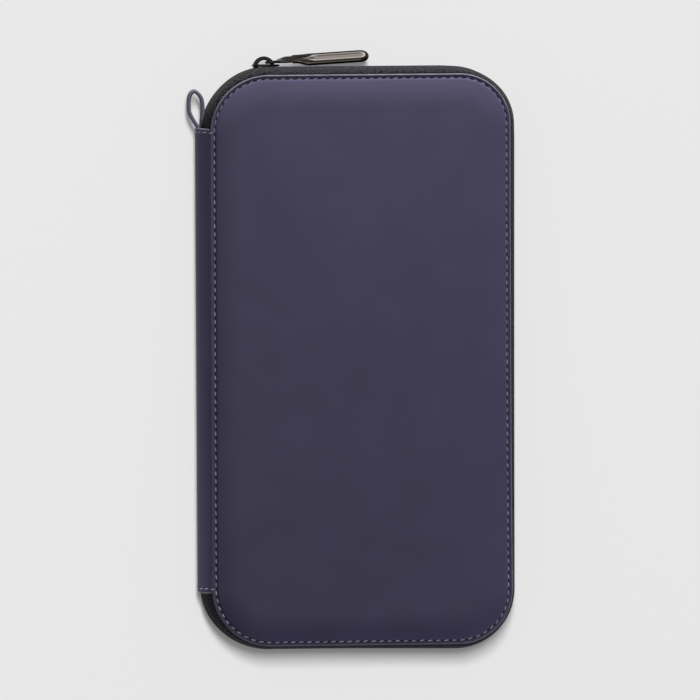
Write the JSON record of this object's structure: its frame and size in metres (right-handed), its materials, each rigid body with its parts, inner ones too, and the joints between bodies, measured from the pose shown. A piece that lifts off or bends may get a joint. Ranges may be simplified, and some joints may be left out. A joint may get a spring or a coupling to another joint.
{
  "type": "travel document wallet",
  "caption": "Zip-around leather travel document wallet with padded covers, a folding spine, a strap loop, inner pockets and a sliding zip puller.",
  "frame": {"origin": "middle of the back panel's flat outer face, which the closed wallet lies on", "axes": "+X from the spine to the open side, +Y along the wallet towards the end with the zip puller, +Z out of the front cover"},
  "size_m": [0.1303, 0.238, 0.024],
  "materials": {
    "leather": "fine-grained, matt",
    "foam": "soft foam",
    "board": "pressed board",
    "lining": "woven lining",
    "zip_tape": "woven tape",
    "zip_coil": "nylon",
    "metal": "gunmetal plating"
  },
  "bodies": {
    "back_cover": {"back_leather": "leather", "back_padding": "foam", "back_board": "board", "back_lining": "lining", "zip_tape_back": "zip_tape", "zip_coil_back": "zip_coil", "zip_top_stop_back": "metal", "zip_bottom_stop": "metal", "spine_wing_back": "leather", "ticket_pocket": "leather", "passport_pocket": "leather"},
    "spine": {"spine_leather": "leather", "spine_lining": "lining", "lanyard_loop": "leather"},
    "front_cover": {"front_leather": "leather", "front_padding": "foam", "front_board": "board", "front_lining": "lining", "zip_tape_front": "zip_tape", "zip_coil_front": "zip_coil", "zip_top_stop_front": "metal", "spine_wing_front": "leather", "slip_pocket": "leather", "card_slot_1": "leather", "card_slot_2": "leather", "card_slot_3": "leather", "card_slot_4": "leather"},
    "slider": {"slider_body": "metal", "slider_bail": "metal"},
    "puller": {"puller_tongue": "metal", "puller_grip": "metal"}
  },
  "joints": [
    {"name": "spine_fold", "type": "hinge", "parent": "back_cover", "child": "spine", "pos_m": [-0.06195, 0, 0.005], "axis": [0, -1, 0], "range_deg": [0, 90]},
    {"name": "cover_fold", "type": "hinge", "parent": "spine", "child": "front_cover", "pos_m": [-0.06195, 0, 0.019], "axis": [0, -1, 0], "range_deg": [0, 90]},
    {"name": "slider_slide", "type": "slide", "parent": "back_cover", "child": "slider", "axis": [1, 0, 0], "range_m": [0, 0.0668], "deforming": ["zip_coil_back", "zip_coil_front"]},
    {"name": "puller_swing", "type": "hinge", "parent": "slider", "child": "puller", "pos_m": [-0.0361, 0.11751, 0.012], "axis": [0, 0, 1], "range_deg": [0, 120]}
  ],
  "couplings": [
    {"joint": "spine_fold", "follows": "cover_fold", "ratio": 1}
  ]
}
